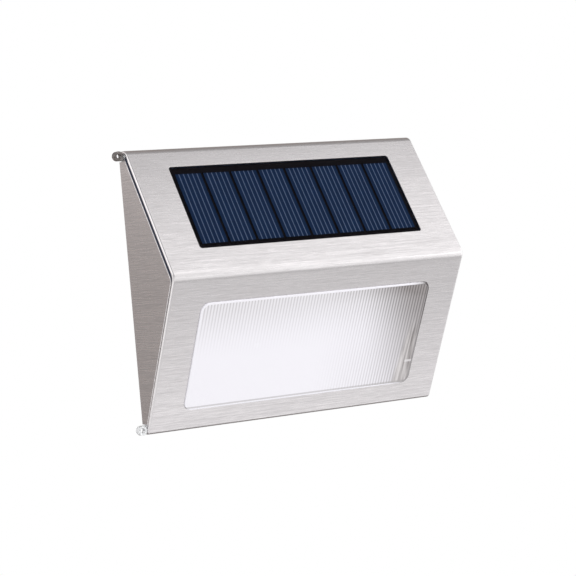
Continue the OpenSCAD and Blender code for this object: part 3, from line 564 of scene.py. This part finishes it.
def cut_window(bm, slope, place, wide, high, radius):
    """Opens a window with round corners in a flat face of the sheet."""
    frame_edges = list(slope.edges)
    normal = slope.normal.copy()
    bmesh.ops.delete(bm, geom=[slope], context="FACES_ONLY")
    pane = rounded_face(bm, wide, high, radius, 0)
    window_edges = list(pane.edges)
    bmesh.ops.transform(bm, matrix=place, verts=pane.verts)
    bmesh.ops.delete(bm, geom=[pane], context="FACES_ONLY")
    filled = bmesh.ops.triangle_fill(bm, use_beauty=True, edges=frame_edges + window_edges, normal=normal)
    faces = [f for f in filled["geom"] if isinstance(f, bmesh.types.BMFace)]
    for face in faces:
        if face.normal.dot(normal) < 0:
            face.normal_flip()


def widest(bm, way):
    """The largest face that looks in the given direction."""
    return max((f for f in bm.faces if f.normal.dot(way) > 0.99), key=lambda f: f.calc_area())


def make_cover():
    """One bent sheet with three folds, side lips and two windows."""
    bm = prism(OUTLINE, -HALF_W, HALF_W)
    for corner, radius in ((OUTLINE[1], TOP_R), (OUTLINE[2], NOSE_R), (OUTLINE[3], BOTTOM_R)):
        round_edges(bm, fold_edges(bm, corner), radius, 14)
    sides = [widest(bm, Vector((way, 0, 0))) for way in (-1, 1)]
    rim = [e for side in sides for e in side.edges if any(v.co.y < -0.01 for v in e.verts)]
    soften(bm, rim, LIP_R, 6)
    rear = widest(bm, Vector((0, 1, 0)))
    bmesh.ops.delete(bm, geom=[rear], context="FACES_ONLY")
    sides = [widest(bm, Vector((way, 0, 0))) for way in (-1, 1)]
    bmesh.ops.inset_region(bm, faces=sides, use_boundary=False, use_even_offset=True, thickness=LIP_H - LIP_R)
    bmesh.ops.delete(bm, geom=sides, context="FACES")
    upper = widest(bm, on_top.to_3x3() @ Vector((0, 0, 1)))
    cut_window(bm, upper, on_top @ Matrix.Translation((0, panel_along, 0)), panel_w + 2 * FIT_GAP,
               panel_h + 2 * FIT_GAP, PANEL_CORNER_R + FIT_GAP)
    lower = widest(bm, on_front.to_3x3() @ Vector((0, 0, 1)))
    cut_window(bm, lower, on_front @ Matrix.Translation((0, -lens_down, 0)), lens_w, lens_h, LENS_CORNER_R)
    add_piece("bent_cover", bm, steel_along, ["cover_sheet"], sheet=SHEET_T, edge=COVER_EDGE)


def make_cheek(side):
    """Flat cheek with softened outer edges. The left one has a notch for each screw ear."""
    wide, narrow = LIP_H + SEAM_TOP + SEAM_MORE, LIP_H + SEAM_BOTTOM
    head = moved_corners(OUTLINE, [wide, wide, narrow + SEAM_MORE, narrow, 0])
    tail = moved_corners(OUTLINE, [wide, wide, narrow, narrow, 0])
    low, high = FLOOR_Z + EAR_NOTCH_H, ROOF_Z - EAR_NOTCH_H
    notch = -EAR_NOTCH_D
    outline = [head[0], head[1], head[2], tail[3], tail[4]]
    if side == "left":
        share = (notch - head[2][0]) / (tail[3][0] - head[2][0])
        meets = head[2][1] + share * (tail[3][1] - head[2][1])
        outline[0:1] = [(0, high), (notch, high), (notch, head[0][1])]
        outline[-2:] = [(notch, meets), (notch, low), (0, low)]
    low_x, high_x = (-HALF_W, -HALF_W + SHEET_T) if side == "left" else (HALF_W - SHEET_T, HALF_W)
    bm = prism(outline, low_x, high_x)
    for corner, radius in ((head[1], TOP_R - wide), (head[2], NOSE_R - narrow)):
        round_edges(bm, fold_edges(bm, corner), radius, 8)
    way = -1 if side == "left" else 1
    outer = widest(bm, Vector((way, 0, 0)))
    soften(bm, list(outer.edges), CHEEK_EDGE, 4)
    add_piece(side + "_cheek_plate", bm, steel_deep, [side + "_cheek"])


def make_panel_coat():
    """Clear coat of the panel, which stands slightly proud of the steel."""
    bm = thick_plate(panel_w, panel_h, PANEL_CORNER_R, COAT_LOW, PANEL_PROUD, COAT_EDGE, 6)[0]
    place = on_top @ Matrix.Translation((0, panel_along, 0))
    add_piece("panel_coat", bm, resin_clear(), ["panel_resin"], place)


def make_lens():
    """Lens with a smooth raised rim and a row of half-round ribs that run down the slope."""
    wide, high = lens_w - 2 * LENS_GAP, lens_h - 2 * LENS_GAP
    bm, face = thick_plate(wide, high, LENS_CORNER_R - LENS_GAP, LENS_LOW, LENS_PROUD, LENS_EDGE, 10)
    bmesh.ops.inset_individual(bm, faces=[face], thickness=RIM_W - LENS_EDGE, use_even_offset=True)
    inner_rim = list(face.edges)
    bmesh.ops.inset_individual(bm, faces=[face], thickness=RIM_STEP, depth=-LENS_PROUD,
                                use_even_offset=True)
    soften(bm, inner_rim, RIM_SOFT, 3)
    run = high - 2 * RIM_W + 2 * RIB_ROOT
    start = bm.verts.new((-RIB_PITCH / 2, -run / 2, 0))
    bmesh.ops.spin(bm, geom=[start], cent=(0, 0, 0), axis=(0, 1, 0), angle=math.pi, steps=10,
                   use_duplicate=False)
    line = [v for v in bm.verts if not v.link_faces]
    bmesh.ops.scale(bm, verts=line, vec=(1, 1, RIB_H * 2 / RIB_PITCH))
    strip = bmesh.ops.extrude_edge_only(bm, edges=once(e for v in line for e in v.link_edges))["geom"]
    ends = [v for v in strip if isinstance(v, bmesh.types.BMVert)]
    bmesh.ops.translate(bm, verts=ends, vec=(0, run, 0))
    rib = once(f for v in ends for f in v.link_faces)
    if sum(f.normal.z for f in rib) < 0:
        bmesh.ops.reverse_faces(bm, faces=rib)
    rib_verts = once(v for f in rib for v in f.verts)
    rib_geom = rib + once(e for f in rib for e in f.edges) + rib_verts
    bmesh.ops.translate(bm, verts=rib_verts, vec=((0.5 - rib_count / 2) * RIB_PITCH, 0, 0))
    for i in range(1, rib_count):
        copy = bmesh.ops.duplicate(bm, geom=rib_geom)["geom"]
        bmesh.ops.translate(bm, verts=[g for g in copy if isinstance(g, bmesh.types.BMVert)],
                            vec=(i * RIB_PITCH, 0, 0))
    place = on_front @ Matrix.Translation((0, -lens_down, 0))
    add_piece("ribbed_lens", bm, lens_white(), ["lens"], place, sharp=55)


make_cover()
make_cheek("left")
make_cheek("right")
make_panel_coat()
make_lens()


def make_floor():
    """Pale floor below the light, bright to the metal that mirrors it."""
    bm = bmesh.new()
    bmesh.ops.create_grid(bm, x_segments=8, y_segments=8, size=FLOOR_HALF)
    bmesh.ops.translate(bm, verts=bm.verts, vec=FLOOR_PLACE)
    mesh = bpy.data.meshes.new("floor")
    bm.to_mesh(mesh)
    bm.free()
    floor = bpy.data.objects.new("floor", mesh)
    bpy.context.scene.collection.objects.link(floor)
    pale = Finish("pale_floor", Roughness=0.9, Specular_IOR_Level=0.2)
    pale.colour(pale.mix(pale.noise((12, 12, 12), 2), (0.86, 0.86, 0.86), (0.9, 0.9, 0.9)))
    near = pale.y.fade(-0.26, -0.10) + pale.x.fade(0.32, 0.12) * 0.14 - 0.08
    shine = pale.mix(near, (0.545, 0.54, 0.54), (1.03, 1.025, 1.03))
    shine = pale.mix(pale.y.fade(-0.03, 0.08), shine, (0.24, 0.225, 0.22))
    card = pale.add("Emission", {0: shine, 1: 1.0})
    away = (pale.x * pale.x + pale.y * pale.y).root().fade(0.25, 0.52)
    white = pale.add("Emission", {0: WHITE, 1: 1.0})
    ground = pale.add("MixShader", {0: away, 1: pale.shader.outputs[0], 2: white.outputs[0]})
    mirrored = pale.add("LightPath").outputs["Is Glossy Ray"]
    both = pale.add("MixShader", {0: mirrored, 1: ground.outputs[0], 2: card.outputs[0]})
    pale.set(pale.output, "Surface", both.outputs[0])
    mesh.materials.append(pale.material)


def make_lamp(name, centre, target, wide, high, level, upright=(0, 0, 1)):
    """A soft box of the given brightness, where 1 is white."""
    data = bpy.data.lights.new(name, "AREA")
    data.shape = "RECTANGLE"
    data.size, data.size_y = wide, high
    data.energy = level * math.pi * wide * high
    lamp = bpy.data.objects.new(name, data)
    bpy.context.scene.collection.objects.link(lamp)
    back = (Vector(centre) - Vector(target)).normalized()
    side = Vector(upright).cross(back).normalized()
    turn = Matrix((side, back.cross(side), back)).transposed()
    lamp.matrix_world = Matrix.Translation(centre) @ turn.to_4x4()


def make_surroundings():
    """White all round to the eye, and bands of grey and white to the metal that mirrors them."""
    world = bpy.data.worlds.new("surroundings")
    bpy.context.scene.world = world
    world.use_nodes = True
    sky = Finish("surroundings", world.node_tree)
    way = sky.add("TexCoord").outputs["Generated"]
    side, depth, rise = [Level(sky, part) for part in sky.add("SeparateXYZ", {0: way}).outputs]
    mirrored = sky.mix(rise.fade(0.05, 0.21), WHITE, (0.28, 0.275, 0.275))
    mirrored = sky.mix(rise.fade(0.5, 0.72), mirrored, (0.36, 0.355, 0.355))
    mirrored = sky.mix(side.fade(-0.58, -0.75) * depth.fade(-0.5, -0.35), mirrored, (1.45, 1.45, 1.45))
    mirrored = sky.mix(side.fade(-0.5, -0.65) * depth.fade(-0.35, -0.5), mirrored, (0.62, 0.615, 0.62))
    mirrored = sky.mix(side.fade(0.68, 0.86), mirrored, (0.95, 0.95, 0.95))
    mirrored = sky.mix(abs(side).fade(0.9, 0.98), mirrored, (0.64, 0.63, 0.63))
    behind = (depth - side.fade(-0.2, -0.6) * 0.35 - side.fade(0.6, 0.8) * 0.4).fade(-0.05, 0.5)
    left = rise.fade(0.035, 0.17) * side.fade(-0.25, -0.45)
    rear = sky.mix(left, (0.296, 0.266, 0.251), (0.96, 0.905, 0.885))
    mirrored = sky.mix(behind, mirrored, rear)
    path = sky.add("LightPath").outputs
    seen = Level(sky, path["Is Camera Ray"]).most(Level(sky, path["Is Transmission Ray"]))
    plain = sky.mix(path["Is Glossy Ray"], (0.93, 0.93, 0.935), mirrored)
    colour = sky.mix(seen, plain, WHITE)
    backdrop = sky.add("Background", {"Color": colour, "Strength": 1.0})
    sky.add("OutputWorld", {"Surface": backdrop.outputs[0]})


make_floor()
make_surroundings()
make_lamp("head_box", (0.2825, -0.334, 0.2508), (0, -0.017, 0.025), 1.2, 0.465, 0.8, (0.128, 0.73, 0.699))
make_lamp("cheek_box", (-0.27, 0.36, 0.24), (-0.056, -0.01, 0.02), 0.5, 0.3, 0.22)

camera_data = bpy.data.cameras.new("camera")
camera_data.sensor_width = CAMERA_SENSOR
camera_data.lens = CAMERA_LENS
camera = bpy.data.objects.new("camera", camera_data)
bpy.context.scene.collection.objects.link(camera)
camera.location = CAMERA_PLACE
camera.rotation_euler = [math.radians(a) for a in CAMERA_TURN]
bpy.context.scene.camera = camera
bpy.context.scene.view_settings.view_transform = "Standard"
